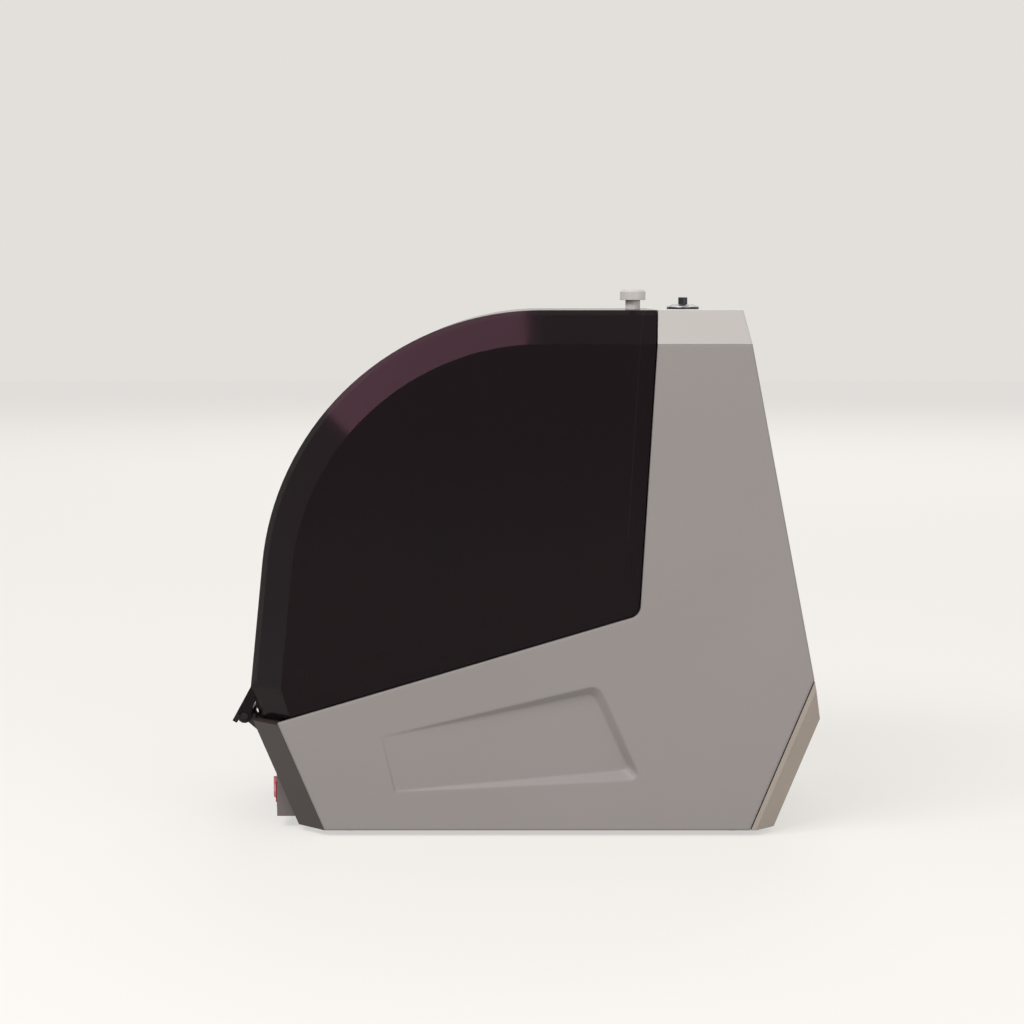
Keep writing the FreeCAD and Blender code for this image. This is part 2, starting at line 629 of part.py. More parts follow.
def rim_seal():
    """Soft strips on the deck's sides and up the tower's rear wall, which the lid closes on."""
    body = new_body("rim_seal")
    start = "(-heel_x + seal_start)"
    bend = corner("seal_height", "seal_height")
    points = [
        (start, deck_line(start)), bend, (rear(CREASE_Z, "seal_height"), CREASE_Z), (rear(CREASE_Z), CREASE_Z),
        ("corner_x", "corner_z"), (start, wedge(start)),
    ]
    for side in (1, -1):
        side_bar(body, points, f"{INNER} - seal_width", INNER, side)
    return body


def roller_bushes():
    body = new_body("roller_bushes")
    for side in (1, -1):
        for radius, low, high in (("bush_radius", WELL_HALF, f"{WELL_OUTER} + bush_flange_thick"),
                                  ("bush_flange", f"{WELL_HALF} - bush_flange_thick", WELL_HALF)):
            sketch = new_sketch(body, "XZ_Plane", f"{side} * ({low})")
            for sign in ("-", ""):
                x = f"-spool_x + {sign}wheel_offset"
                circle(sketch, x, ROLLER_Z, radius)
                circle(sketch, x, ROLLER_Z, "shaft_radius + running_gap")
            pad(body, sketch, f"{high} - ({low})", back=side < 0)
    return body


def roller(name, sign):
    """Steel shaft across the well with two wheels that carry the load."""
    x = f"-spool_x + {sign}wheel_offset"
    shaft = new_body(name + "_shaft")
    sketch = new_sketch(shaft, "XZ_Plane")
    circle(sketch, x, ROLLER_Z, "shaft_radius")
    pad(shaft, sketch, f"2 * ({WELL_OUTER} + shaft_end)", both=True)
    for piece, outer, bore in (("_wheels", "wheel_radius - tyre_wall", "shaft_radius + running_gap"),
                               ("_tyres", "wheel_radius", "wheel_radius - tyre_wall")):
        body = new_body(name + piece)
        for side in (1, -1):
            ring = new_sketch(body, "XZ_Plane", f"{side} * wheel_inner_y")
            circle(ring, x, ROLLER_Z, outer)
            circle(ring, x, ROLLER_Z, bore)
            pad(body, ring, "wheel_outer_y - wheel_inner_y", back=side < 0)


# Lid and hinge


def lid_block(body, points, half, radius, bevel):
    """Lid outline padded to width, with the big shoulder radius and a bevel round its outer edge."""
    block = slab(body, points, f"2 * ({half})")
    doc.recompute()
    outline = block.Shape.BoundBox
    shoulder = [v.Point for v in block.Shape.Vertexes if abs(v.Point.z - outline.ZMax) < 0.01]
    shoulder_x = min(point.x for point in shoulder)
    at_shoulder = edges_where(block, lambda e: runs_across(e, shoulder_x, outline.ZMax))
    rounded = dressup("Fillet", body, block, at_shoulder, "Radius", radius)
    doc.recompute()

    def on_rim(edge):
        box = edge.BoundBox
        if box.YLength > 0.01 or abs(abs(box.Center.y) - outline.YMax) > 0.01:
            return False
        on_top = abs(box.ZMin - outline.ZMax) < 0.01
        at_back = box.XMax < outline.XMin + 0.85 * outline.XLength and box.ZLength > 5
        low_edge = box.ZMax < size("kink_z") - 1 and box.ZMin < size("heel_z") and box.XLength > box.ZLength
        slope_edge = box.XLength > 1.5 * box.ZLength and not on_top
        return (on_top or at_back) and not low_edge and not slope_edge

    return dressup("Chamfer", body, rounded, edges_where(rounded, on_rim), "Size", bevel)


def hood_point(share, inset):
    """Point on the lid's flared nose, from its tip at share 0 to the kink at 1, moved in by inset."""
    run, rise = "(nose_x - kink_x)", "(kink_z - nose_z)"
    length = f"sqrt({run} ^ 2 + {rise} ^ 2)"
    return (f"(-nose_x + {share} * {run} + ({inset}) * {rise} / {length})",
            f"(nose_z + {share} * {rise} - ({inset}) * {run} / {length})")


def lid_shell():
    """Smoked shell, open to the front and below, with a hood and knuckles for the hinge."""
    core = new_body("lid_core", kept=False)
    over = "(4 * wall)"
    skirt_lean = "((kink_x - skirt_x) / (kink_z - heel_z - lid_gap))"
    lid_block(core, [
        (f"corner_x + {over}", wedge(f"corner_x + {over}", over)), (f"tower_rear_x + {over}", "top_z - lid_wall"),
        (lid_back("top_z - lid_wall", "lid_wall"), "top_z - lid_wall"), (lid_back("kink_z", "lid_wall"), "kink_z"),
        (f"-skirt_x + lid_wall + {over} * {skirt_lean}", f"heel_z + lid_gap - {over}"),
        (f"-heel_x + {over}", wedge(f"-heel_x + {over}", over)),
    ], f"{LID_HALF} - lid_wall", "lid_radius - lid_wall", f"bevel - (2 - {DIAGONAL}) * lid_wall")
    body = new_body("lid_shell")
    lid_block(body, [
        corner("-lid_gap", "-lid_gap"), (rear("top_z", "-lid_gap"), "top_z"), ("-lid_shoulder_x", "top_z"),
        ("-kink_x", "kink_z"), ("-skirt_x", "heel_z + lid_gap"), ("-heel_x", "heel_z + lid_gap"),
    ], LID_HALF, "lid_radius", "bevel")
    hollow = body.newObject("PartDesign::Boolean", "lid_hollow")
    hollow.setObjects([core])
    hollow.Type = "Cut"
    doc.recompute()
    hood_end = f"({LID_HALF} - bevel)"
    hood = [hood_point("1", "0"), hood_point("0", "0"), hood_point("0", "hood_wall"), hood_point("1", "hood_wall")]
    slab(body, hood, "2 * (ear_inner_y - joint_gap)")
    web = [
        ("-hinge_x - web_half", "hinge_z"), ("-hinge_x + web_half", "hinge_z"),
        ("-skirt_x - hood_wall / 2", "(kink_z + hinge_z) / 2 + hood_wall"), hood_point("0.9", "hood_wall / 2"),
        hood_point("0.3", "hood_wall / 2"),
    ]
    for side in (1, -1):
        outer = f"({EAR_OUTER} + joint_gap)"
        side_bar(body, hood, outer, hood_end, side)
        inner = ("ear_inner_y - joint_gap - knuckle_width", "ear_inner_y - joint_gap")
        for low, high in (inner, (outer, hood_end)):
            side_bar(body, web, low, high, side)
            boss = new_sketch(body, "XZ_Plane", f"{side} * ({low})")
            circle(boss, "-hinge_x", "hinge_z", "boss_radius")
            pad(body, boss, f"{high} - ({low})", back=side < 0)
    pin = new_sketch(body, "XZ_Plane")
    circle(pin, "-hinge_x", "hinge_z", "pin_radius + running_gap")
    pocket(body, pin, "2 * body_width", both=True)
    hole = new_sketch(body, "XY_Plane", "top_z + wall")
    circle(hole, "knob_x", "0", "screw_radius + running_gap")
    pocket(body, hole, "3 * wall + lid_wall")
    return body


def lid_knob():
    body = new_body("lid_knob")
    top = "(knob_stem + knob_head)"
    revolve(body, [
        ("screw_radius + running_gap", "0"), ("knob_stem_radius", "0"), ("knob_stem_radius", "knob_stem"),
        ("knob_head_radius", "knob_stem"), ("knob_head_radius", f"{top} - knob_round"),
        ("knob_head_radius - knob_round", top), ("0", top), ("0", "screw_length"),
        ("screw_radius + running_gap", "screw_length"),
    ])
    place(body, "knob_x", "0", "top_z")
    return body


def knob_screw():
    body = new_body("knob_screw")
    revolve(body, [
        ("0", "-lid_wall - screw_head"), ("screw_head_radius", "-lid_wall - screw_head"),
        ("screw_head_radius", "-lid_wall"), ("screw_radius", "-lid_wall"),
        ("screw_radius", "screw_length - running_gap"), ("0", "screw_length - running_gap"),
    ])
    place(body, "knob_x", "0", "top_z")
    return body


def hinge_ear(label, side):
    """Gusset on the back panel that carries the hinge pin."""
    body = new_body(label)
    gusset = [
        (heel("ear_root_z", "back_bevel"), "ear_root_z"), (heel(f"({LEDGE_Z} - 1)", "back_bevel"), f"{LEDGE_Z} - 1"),
        ("-hinge_x + web_half", "hinge_z + web_half"), ("-hinge_x - web_half", "hinge_z - web_half"),
    ]
    side_bar(body, gusset, "ear_inner_y", EAR_OUTER, side)
    boss = new_sketch(body, "XZ_Plane", f"{side} * ear_inner_y")
    circle(boss, "-hinge_x", "hinge_z", "boss_radius")
    pad(body, boss, "ear_width", back=side < 0)
    pin = new_sketch(body, "XZ_Plane")
    circle(pin, "-hinge_x", "hinge_z", "pin_radius")
    pocket(body, pin, "2 * body_width", both=True)
    return body


def hinge_pin():
    body = new_body("hinge_pin")
    sketch = new_sketch(body, "XZ_Plane")
    circle(sketch, "-hinge_x", "hinge_z", "pin_radius")
    pad(body, sketch, f"2 * ({LID_HALF} - bevel + pin_end)", both=True)
    return body


# Tower fittings


def slanted_plate(label, low, high, half, outer, depth):
    """Plate parallel to the slanted front face, starting outer behind it."""
    body = new_body(label)
    inner = f"({outer} + {depth})"
    slab(body, [(front(low, outer), low), (front(high, outer), high), (front(high, inner), high), (front(low, inner), low)],
         f"2 * ({half})")
    return body


def display_pieces():
    low, high = "(display_low + fit_gap)", "(display_high - fit_gap)"
    slanted_plate("display_lens", low, high, "display_half - fit_gap", "lens_inset", "lens_wall")
    behind = "(lens_inset + lens_wall)"
    slanted_plate("display_module", low, high, "display_half - fit_gap", behind, "module_depth")
    slanted_plate("control_board", "(display_low - board_margin)", "(display_high + board_margin)",
                  "display_half + board_margin", f"({behind} + module_depth)", "board_wall")


def outlet_fitting():
    """Domed filament outlet with a nipple, and a threaded shank through the cap."""
    body = new_body("outlet_fitting")
    shoulder = "(dome_height - 1.5)"
    revolve(body, [
        ("outlet_bore", "tube_socket - shank_length"), ("tube_radius + running_gap", "tube_socket - shank_length"),
        ("tube_radius + running_gap", "-shank_length"), ("shank_radius", "-shank_length"), ("shank_radius", "0"),
        ("dome_radius", "0"), ("dome_radius", shoulder), ("0.6 * dome_radius", "dome_height"),
        ("nipple_radius", "dome_height"), ("nipple_radius", "nipple_height"), ("outlet_bore", "nipple_height"),
    ])
    place(body, "outlet_x", "0", "top_z")
    nut = new_body("outlet_nut")
    revolve(nut, [
        ("shank_radius + running_gap", "-wall - nut_height"), ("nut_radius", "-wall - nut_height"),
        ("nut_radius", "-wall"), ("shank_radius + running_gap", "-wall"),
    ])
    place(nut, "outlet_x", "0", "top_z")
    tube = new_body("guide_tube")
    liner_z = f"(spool_z + sqrt({WELL_RADIUS} ^ 2 - (outlet_x + spool_x) ^ 2))"
    low, high = f"({liner_z} - tube_end - top_z)", "(tube_socket - shank_length)"
    revolve(tube, [("tube_bore", low), ("tube_radius", low), ("tube_radius", high), ("tube_bore", high)])
    place(tube, "outlet_x", "0", "top_z")


def humidity_sensor():
    """Vented sensor cap on the chamber side of the tower's rear wall."""
    body = new_body("humidity_sensor")
    sketch = new_sketch(body, "YZ_Plane", rear("sensor_z + sensor_height", "seal_height - sensor_depth"))
    rectangle(sketch, "sensor_y - sensor_width / 2", "sensor_z - sensor_height / 2",
              "sensor_y + sensor_width / 2", "sensor_z + sensor_height / 2")
    pad(body, sketch, "2 * sensor_depth")
    low, high = "(sensor_z - sensor_height)", "(sensor_z + sensor_height)"
    trim(body, [(rear(low, "seal_height"), low), (rear(high, "seal_height"), high), ("tip_x", high), ("tip_x", low)])
    return body


# Power entry


def power_pod():
    """Wedge on the back panel whose upright face carries the inlet and the switch."""
    body = new_body("power_pod")
    points = [("-pod_x", "pod_low"), ("-pod_x", POD_TOP), (heel("pod_low", "back_bevel"), "pod_low")]
    side_bar(body, points, "-pod_y_far", "pod_y_near", 1)
    window = new_sketch(body, "YZ_Plane", "-heel_foot_x")
    low, high = "(power_z - inlet_height / 2 - fit_gap)", "(power_z + inlet_height / 2 + fit_gap)"
    rectangle(window, "inlet_y - inlet_width / 2 - fit_gap", low, "inlet_y + inlet_width / 2 + fit_gap", high)
    low, high = "(power_z - switch_height / 2 - fit_gap)", "(power_z + switch_height / 2 + fit_gap)"
    rectangle(window, "-switch_y - switch_width / 2 - fit_gap", low, "-switch_y + switch_width / 2 + fit_gap", high)
    pocket(body, window, "pod_x")
    return body


def mains_inlet():
    """Appliance inlet: a block with a socket recess, and three blade pins."""
    body = new_body("mains_inlet")
    block = new_sketch(body, "YZ_Plane", "-pod_x")
    half_y, half_z = "(inlet_width / 2)", "(inlet_height / 2)"
    rectangle(block, f"inlet_y - {half_y}", f"power_z - {half_z}", f"inlet_y + {half_y}", f"power_z + {half_z}")
    pad(body, block, "inlet_depth")
    socket = new_sketch(body, "YZ_Plane", "-pod_x")
    y, z = f"({half_y} - inlet_rim)", f"({half_z} - inlet_rim)"
    polygon(socket, [
        (f"inlet_y - {y}", f"power_z - {z}"), (f"inlet_y + {y}", f"power_z - {z}"),
        (f"inlet_y + {y}", f"power_z + {z} / 2"), (f"inlet_y + {y} - {z} / 2", f"power_z + {z}"),
        (f"inlet_y - {y} + {z} / 2", f"power_z + {z}"), (f"inlet_y - {y}", f"power_z + {z} / 2"),
    ])
    pocket(body, socket, "socket_depth", back=True)
    pins = new_body("inlet_pins")
    blades = new_sketch(pins, "YZ_Plane", "-pod_x + socket_depth")
    for y, z in (("-pin_pitch", "-pin_rise"), ("0", "pin_rise"), ("pin_pitch", "-pin_rise")):
        rectangle(blades, f"inlet_y + {y} - pin_thick / 2", f"power_z + {z} - pin_blade / 2",
                  f"inlet_y + {y} + pin_thick / 2", f"power_z + {z} + pin_blade / 2")
    pad(pins, blades, "pin_length", back=True)


def power_switch():
    """Switch frame in the pod, and a rocker that tilts about an upright axis."""
    frame = new_body("switch_frame")
    block = new_sketch(frame, "YZ_Plane", "-pod_x - switch_rim")
    rectangle(block, "-switch_y - switch_width / 2", "power_z - switch_height / 2",
              "-switch_y + switch_width / 2", "power_z + switch_height / 2")
    pad(frame, block, "switch_depth + switch_rim")
    mouth = new_sketch(frame, "YZ_Plane", "-pod_x - switch_rim")
    half_y, half_z = "(rocker_length / 2 + rocker_end_gap)", "(rocker_height / 2 + fit_gap)"
    rectangle(mouth, f"-switch_y - {half_y}", f"power_z - {half_z}", f"-switch_y + {half_y}", f"power_z + {half_z}")
    pocket(frame, mouth, "rocker_pivot + 2 * rocker_back + 2 * switch_rim", back=True)
    pivot = new_sketch(frame, "XY_Plane", "power_z")
    circle(pivot, "-pod_x + rocker_pivot", "-switch_y", "trunnion_radius + running_gap")
    pocket(frame, pivot, "rocker_height + 2 * fit_gap + 2 * trunnion_length", both=True)
    rocker = new_body("switch_rocker")
    plan = new_sketch(rocker, "XY_Plane")
    out, half = "(-rocker_pivot - rocker_out)", "(rocker_length / 2)"
    polygon(plan, [
        (out, f"-{half}"), (f"{out} + rocker_dip", "0"), (out, half),
        ("0", half), ("rocker_back", f"{half} / 2"), ("rocker_back", f"-{half} / 2"), ("0", f"-{half}"),
    ])
    pad(rocker, plan, "rocker_height", both=True)
    trunnion = new_sketch(rocker, "XY_Plane")
    circle(trunnion, "0", "0", "trunnion_radius")
    pad(rocker, trunnion, "rocker_height + 2 * trunnion_length", both=True)
    rocker.Placement = FreeCAD.Placement(FreeCAD.Vector(), FreeCAD.Rotation(FreeCAD.Vector(0, 0, 1), 1))
    rocker.setExpression("Placement.Rotation.Angle", bound("rocker_tilt"))
    place(rocker, "-pod_x + rocker_pivot", "-switch_y", "power_z")


# Fan, heater and power board in the side bays


def fan_pieces():
    """Square fan on the far wall of the well, blowing into that side's bay."""
    frame = new_body("fan_frame")
    half = "(fan_size / 2)"
    square = new_sketch(frame, "XZ_Plane", f"-{WELL_OUTER}")
    rectangle(square, f"fan_x - {half}", f"fan_z - {half}", f"fan_x + {half}", f"fan_z + {half}")
    pad(frame, square, "fan_depth", back=True)
    bore = new_sketch(frame, "XZ_Plane", f"-{WELL_OUTER}")
    circle(bore, "fan_x", "fan_z", "fan_bore")
    pocket(frame, bore, "fan_depth")
    plate = f"-({WELL_OUTER} + fan_depth - fan_plate)"
    mount = new_sketch(frame, "XZ_Plane", plate)
    circle(mount, "fan_x", "fan_z", "fan_hub")
    pad(frame, mount, "fan_plate", back=True)
    for along, across in (("fan_bore + 1", "fan_strut / 2"), ("fan_strut / 2", "fan_bore + 1")):
        strut = new_sketch(frame, "XZ_Plane", plate)
        rectangle(strut, f"fan_x - ({along})", f"fan_z - ({across})", f"fan_x + {along}", f"fan_z + {across}")
        pad(frame, strut, "fan_plate", back=True)
    spindle = new_sketch(frame, "XZ_Plane", plate)
    circle(spindle, "fan_x", "fan_z", "fan_shaft + running_gap")
    pocket(frame, spindle, "fan_plate")
    rotor = new_body("fan_rotor")
    depth = "(fan_depth - fan_plate - 2 * fan_play)"
    hub = new_sketch(rotor, "XZ_Plane")
    circle(hub, "0", "0", "fan_hub")
    pad(rotor, hub, depth, back=True)
    spindle = new_sketch(rotor, "XZ_Plane", f"-{depth}")
    circle(spindle, "0", "0", "fan_shaft")
    pad(rotor, spindle, "fan_play + fan_plate", back=True)
    root = new_sketch(rotor, "XZ_Plane")
    rectangle(root, "fan_hub - 1", "-fan_hub / 2", "fan_tip - 2", "-fan_hub / 2 + fan_blade")
    blade = pad(rotor, root, depth, back=True)
    lean_along(blade, "0", "-fan_hub", "-0.8 * fan_hub")
    doc.recompute()
    ring = rotor.newObject("PartDesign::PolarPattern", "fan_blades")
    ring.Originals = [blade]
    axis = next(feature for feature in rotor.Origin.OriginFeatures if feature.Role == "Y_Axis")
    ring.Axis = (axis, [""])
    ring.Angle = 360
    ring.Occurrences = 7
    rotor.Tip = ring
    place(rotor, "fan_x", f"{WELL_OUTER} + fan_play", "fan_z")


def heater_pieces():
    """Finned heater under the deck's air slots, held to the well wall in a frame."""
    low_x, high_x = "(-heater_x - heater_length / 2)", "(-heater_x + heater_length / 2)"
    high_z = "(heater_low + heater_height)"
    frame = new_body("heater_frame")
    side_bar(frame, [
        (f"{low_x} - heater_frame", "heater_low - heater_frame"), (f"{high_x} + heater_frame", "heater_low - heater_frame"),
        (f"{high_x} + heater_frame", f"{high_z} + heater_frame"), (f"{low_x} - heater_frame", f"{high_z} + heater_frame"),
    ], WELL_OUTER, f"{WELL_OUTER} + heater_frame + heater_depth / 2", -1)
    seat = new_sketch(frame, "XZ_Plane", f"-({WELL_OUTER} + heater_frame)")
    rectangle(seat, low_x, "heater_low", high_x, high_z)
    pocket(frame, seat, "heater_depth")
    core = new_body("heater_core")
    side_bar(core, [(low_x, "heater_low"), (high_x, "heater_low"), (high_x, high_z), (low_x, high_z)],
             f"{WELL_OUTER} + heater_frame", f"{WELL_OUTER} + heater_frame + heater_depth", -1)
    gaps = new_sketch(core, "XZ_Plane", f"-({WELL_OUTER} + heater_frame + heater_depth - fin_gap_depth)")
    count = int((size("heater_length") - size("fin_wall")) // size("fin_pitch"))
    for i in range(count):
        x = f"({low_x} + fin_wall + {i} * fin_pitch)"
        rectangle(gaps, x, "heater_low - 1", f"{x} + fin_pitch - fin_wall", f"{high_z} + 1")
    pocket(core, gaps, "2 * fin_gap_depth")


def power_board():
    """Power supply board on standoffs in the near bay, with its transformer, capacitors and heat sink."""
    board = new_body("power_board")
    low_x, high_x = "(-power_board_x - power_board_length / 2)", "(-power_board_x + power_board_length / 2)"
    high_z = "(power_board_low + power_board_height)"
    face = f"({WELL_OUTER} + standoff)"
    side_bar(board, [(low_x, "power_board_low"), (high_x, "power_board_low"), (high_x, high_z), (low_x, high_z)],
             face, f"{face} + board_wall", 1)
    legs = new_sketch(board, "XZ_Plane", WELL_OUTER)
    for x in (f"{low_x} + 2 * standoff", f"{high_x} - 2 * standoff"):
        circle(legs, x, f"{high_z} - 2 * standoff", "standoff / 2")
    pad(board, legs, "standoff")
    parts = new_body("power_board_parts")
    top = f"({face} + board_wall)"
    blocks = new_sketch(parts, "XZ_Plane", top)
    middle = "(power_board_low + power_board_height / 2)"
    rectangle(blocks, "-power_board_x - 12", f"{middle} - 10", "-power_board_x + 12", f"{middle} + 10")
    rectangle(blocks, f"{high_x} - 14", f"{middle} - 12", f"{high_x} - 10", f"{middle} + 12")
    pad(parts, blocks, "0.7 * bay_height")
    cans = new_sketch(parts, "XZ_Plane", top)
    for rise in ("-9", "9"):
        circle(cans, f"{low_x} + 14", f"{middle} + {rise}", "6")
    pad(parts, cans, "0.78 * bay_height")


def build():
    side_cover("side_cover_left", 1)
    side_cover("side_cover_right", -1)
    tower_cap()
    front_panel()
    front_lower_panel()
    back_panel()
    base_tray()
    rubber_feet()
    base_screws()
    chamber_tub()
    tower_liner()
    rim_seal()
    roller_bushes()
    roller("rear_roller", "-")
    roller("front_roller", "")
    lid_shell()
    lid_knob()
    knob_screw()
    hinge_ear("hinge_ear_left", 1)
    hinge_ear("hinge_ear_right", -1)
    hinge_pin()
    display_pieces()
    outlet_fitting()
    humidity_sensor()
    power_pod()
    mains_inlet()
    power_switch()
    fan_pieces()
    heater_pieces()
    power_board()
    doc.recompute()


def export():
    """Check every object, then write each piece to a file named after it."""
    for item in doc.Objects:
        if "Invalid" in item.State or "Error" in item.State:
            raise RuntimeError(f"{item.Label} failed: {item.State}")
    for piece in PIECES:
        shape = piece.Shape
        if shape.isNull() or not shape.isValid() or not shape.Solids:
            raise RuntimeError(f"{piece.Label} has no valid solid")
    os.makedirs("parts", exist_ok=True)
    for piece in PIECES:
        piece.Shape.exportStep(f"parts/{piece.Label}.step")


build()
export()
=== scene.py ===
# %% [markdown]
# # A filament dryer box
# The box is a grey wedge with a tower at its front and a smoked lid over its chamber. The hard parts come
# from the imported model, in metres, so this lesson gives them finishes and adds the fine trim.

# %% Load the model
import bmesh
import bpy
import json
import math
from mathutils import Matrix, Vector


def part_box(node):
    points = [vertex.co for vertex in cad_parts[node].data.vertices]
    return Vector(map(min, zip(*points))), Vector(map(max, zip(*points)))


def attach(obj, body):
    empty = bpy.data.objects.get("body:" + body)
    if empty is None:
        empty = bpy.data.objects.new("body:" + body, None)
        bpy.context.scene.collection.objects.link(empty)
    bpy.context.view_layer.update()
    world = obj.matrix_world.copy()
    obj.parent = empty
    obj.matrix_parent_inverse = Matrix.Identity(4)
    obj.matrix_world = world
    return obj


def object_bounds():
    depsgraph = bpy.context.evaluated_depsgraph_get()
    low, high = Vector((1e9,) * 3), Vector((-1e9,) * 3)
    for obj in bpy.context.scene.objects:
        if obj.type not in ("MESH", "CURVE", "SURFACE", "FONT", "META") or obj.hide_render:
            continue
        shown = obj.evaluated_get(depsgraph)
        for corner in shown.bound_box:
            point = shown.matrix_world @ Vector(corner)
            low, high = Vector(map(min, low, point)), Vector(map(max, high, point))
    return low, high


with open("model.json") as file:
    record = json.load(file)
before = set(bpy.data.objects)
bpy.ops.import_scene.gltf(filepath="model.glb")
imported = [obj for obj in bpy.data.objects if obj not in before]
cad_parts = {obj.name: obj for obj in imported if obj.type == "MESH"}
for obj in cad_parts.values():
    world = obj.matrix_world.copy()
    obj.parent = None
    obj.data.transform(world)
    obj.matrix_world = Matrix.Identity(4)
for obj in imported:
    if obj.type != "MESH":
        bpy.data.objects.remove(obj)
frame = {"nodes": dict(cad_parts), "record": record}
cad_box = [list(corner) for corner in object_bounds()]
print("model box in metres:", cad_box)


# %% [markdown]
# ## Colours and nodes
# Colours are picked as sRGB hex values, the way a paint card shows them, but shaders work with linear light.
# One function converts them. Another adds a node with its settings and links, which keeps materials short.

# %% Helpers for materials
def linear(hexed):
    parts = [int(hexed[i:i + 2], 16) / 255 for i in (1, 3, 5)]
    return [c / 12.92 if c <= 0.04045 else ((c + 0.055) / 1.055) ** 2.4 for c in parts] + [1.0]


def add_node(tree, kind, settings=None, **links):
    node = tree.nodes.new(kind)
    for key, value in (settings or {}).items():
        if hasattr(node, key) and key not in node.inputs:
            setattr(node, key, value)
        else:
            node.inputs[key].default_value = value
    for key, source in links.items():
        tree.links.new(source, node.inputs[key.replace("_", " ")])
    return node


# %% [markdown]
# ## Moulded plastic
# ABS from an etched mould has a fine grain, and its colour drifts a little across a large panel. A noise of
# about a millimetre gives the grain as bump and roughness, and one of several centimetres gives the drift.
# A real etch is about 0.2 mm, which would not show, so the grain is drawn coarser. No moulded edge is truly
# sharp either: a Bevel node rounds the shading along each edge, so that it catches the light as a thin line.

# %% A material for moulded parts
ROUGHNESS_SWING = 0.06  # how far the grain moves the roughness, each way
GRAIN_DEPTH = 0.0002  # the depth of the grain, in metres


def moulded(name, base, shade, roughness, grain_mm=0.9, bump=0.06, drift_mm=60, edge_mm=0.4, metal=0.0,
            gloss=0.5):
    material = bpy.data.materials.new(name)
    material.use_nodes = True
    tree = material.node_tree
    shader = tree.nodes["Principled BSDF"]
    shader.inputs["Metallic"].default_value = metal
    shader.inputs["Specular IOR Level"].default_value = gloss
    place = add_node(tree, "ShaderNodeTexCoord").outputs["Object"]

    drift = add_node(tree, "ShaderNodeTexNoise", {"Scale": 1000 / drift_mm, "Detail": 3.0}, Vector=place)
    tint = add_node(tree, "ShaderNodeValToRGB", None, Fac=drift.outputs["Fac"])
    for stop, position, colour in zip(tint.color_ramp.elements, (0.3, 0.7), (shade, base)):
        stop.position = position
        stop.color = linear(colour)
    tree.links.new(tint.outputs["Color"], shader.inputs["Base Color"])

    grain = add_node(tree, "ShaderNodeTexNoise", {"Scale": 1000 / grain_mm, "Detail": 2.0}, Vector=place)
    swing = {"To Min": roughness - ROUGHNESS_SWING, "To Max": roughness + ROUGHNESS_SWING}
    polish = add_node(tree, "ShaderNodeMapRange", swing, Value=grain.outputs["Fac"])
    tree.links.new(polish.outputs["Result"], shader.inputs["Roughness"])
    relief = add_node(tree, "ShaderNodeBump", {"Strength": bump, "Distance": GRAIN_DEPTH},
                      Height=grain.outputs["Fac"])
    if edge_mm:
        edge = add_node(tree, "ShaderNodeBevel", {"Radius": edge_mm / 1000, "samples": 6})
        tree.links.new(edge.outputs["Normal"], relief.inputs["Normal"])
    tree.links.new(relief.outputs["Normal"], shader.inputs["Normal"])
    return material


# %% [markdown]
# ## Plastics, rubbers and metals
# Each finish is named for its real material and kept under the slot that the record gives to its parts. The
# outside is one family of greys in etched ABS, and its covers have the softest edges. The inside is darker,
# because it has to stand heat and hide dust.

# %% Outside plastics
# Etched ABS gives a soft, even sheen without clear reflections, and only the edges glint.
FINISHES = {
    "cover_grey": moulded("etched_abs_cover", "#979190", "#938D8B", 0.46, drift_mm=140, edge_mm=1.8),
    "cap_grey": moulded("etched_abs_cap", "#BDB9B6", "#B9B5B2", 0.46, drift_mm=140, edge_mm=0.8),
    "lower_grey": moulded("etched_abs_lower_front", "#ABA096", "#A3988E", 0.5, edge_mm=0.6),
    # The back's dark brown is painted shade: its face stays in shadow, so its grey is coloured much darker.
    "back_grey": moulded("etched_abs_back_painted_shade", "#3C3330", "#352D2A", 0.5, edge_mm=0.6),
    "pod_grey": moulded("etched_abs_pod", "#716A6A", "#6B6464", 0.5, edge_mm=0.6),
    "base_black": moulded("moulded_abs_base", "#2A2726", "#242221", 0.6),
}
# Polished ABS reflects clearly: the front is a dark mirror, and the rocker shows a small bright glint. The
# satin knob shows only a soft one.
FINISHES["front_black"] = moulded("polished_abs_front", "#1B1819", "#171516", 0.2, bump=0.01, gloss=0.25)
FINISHES["rocker_red"] = moulded("polished_red_rocker", "#C0394B", "#B53344", 0.32, bump=0.01, gloss=0.12)
FINISHES["knob_white"] = moulded("satin_knob", "#D9D4D2", "#D0CBC8", 0.35, bump=0.03)
print("outside finishes:", len(FINISHES))

# %% [markdown]
# ## Finishes of the inside
# These parts show when the lid is open or from below. Glass-filled and heatproof plastics look dull and a
# little uneven, acetal looks waxy, rubber swallows light, and turned or extruded metal gives narrow streaks.

